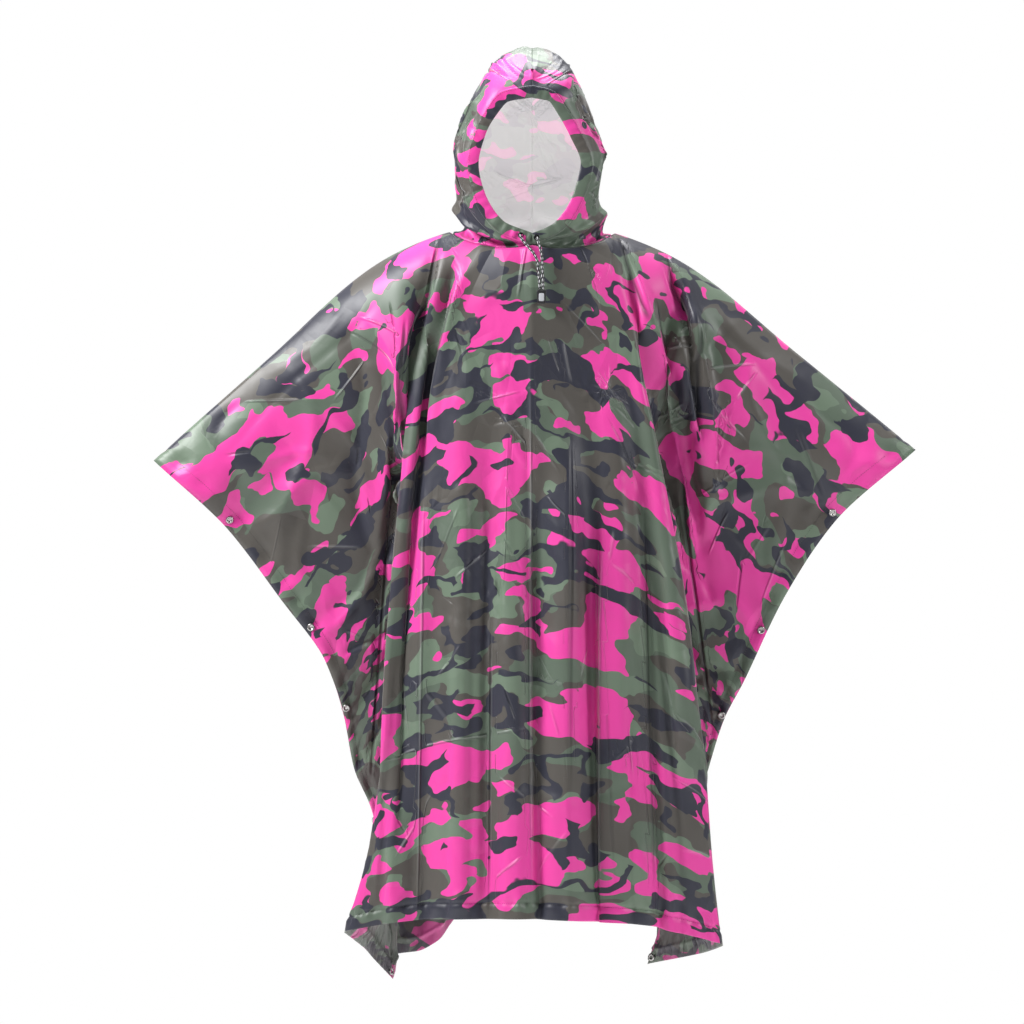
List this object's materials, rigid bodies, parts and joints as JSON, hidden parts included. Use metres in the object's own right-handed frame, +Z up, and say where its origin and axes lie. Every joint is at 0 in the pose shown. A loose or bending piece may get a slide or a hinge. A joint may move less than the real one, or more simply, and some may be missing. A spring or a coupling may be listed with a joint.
{
  "type": "rain poncho",
  "caption": "Hooded rain poncho with snap-closed side edges, a drawstring round the face opening and low corner eyelets, filled out as worn with the arms held out.",
  "frame": {"origin": "where the wearer's shoulders hold the poncho, midway between the shoulder tops at the neck", "axes": "+X to the right seen from the front, -Y the way the wearer faces, +Z up"},
  "size_m": [1.2114, 0.4701, 1.4908],
  "materials": {
    "printed_cloth": "coated polyester taffeta, woodland print in pink, green, brown and navy, satin sheen",
    "snap_steel": "pressed nickel-plated steel",
    "black_plastic": "moulded black plastic",
    "grey_plastic": "moulded light grey plastic",
    "braided_cord": "black and white braid"
  },
  "bodies": {
    "root": {"front_panel": "printed_cloth", "back_panel": "printed_cloth", "hood_left": "printed_cloth", "hood_right": "printed_cloth", "hood_casing": "printed_cloth", "snap_front_left_1": "snap_steel", "snap_front_left_2": "snap_steel", "snap_front_left_3": "snap_steel", "snap_front_left_4": "snap_steel", "corner_eyelet_front_left": "snap_steel", "snap_front_right_1": "snap_steel", "snap_front_right_2": "snap_steel", "snap_front_right_3": "snap_steel", "snap_front_right_4": "snap_steel", "corner_eyelet_front_right": "snap_steel", "snap_back_left_1": "snap_steel", "snap_back_left_2": "snap_steel", "snap_back_left_3": "snap_steel", "snap_back_left_4": "snap_steel", "corner_eyelet_back_left": "snap_steel", "snap_back_right_1": "snap_steel", "snap_back_right_2": "snap_steel", "snap_back_right_3": "snap_steel", "snap_back_right_4": "snap_steel", "corner_eyelet_back_right": "snap_steel", "cord_eyelet_left": "black_plastic", "cord_eyelet_right": "black_plastic", "drawstring_left": "braided_cord", "drawstring_right": "braided_cord", "cord_end": "black_plastic", "cord_end_button": "grey_plastic"}
  },
  "joints": []
}
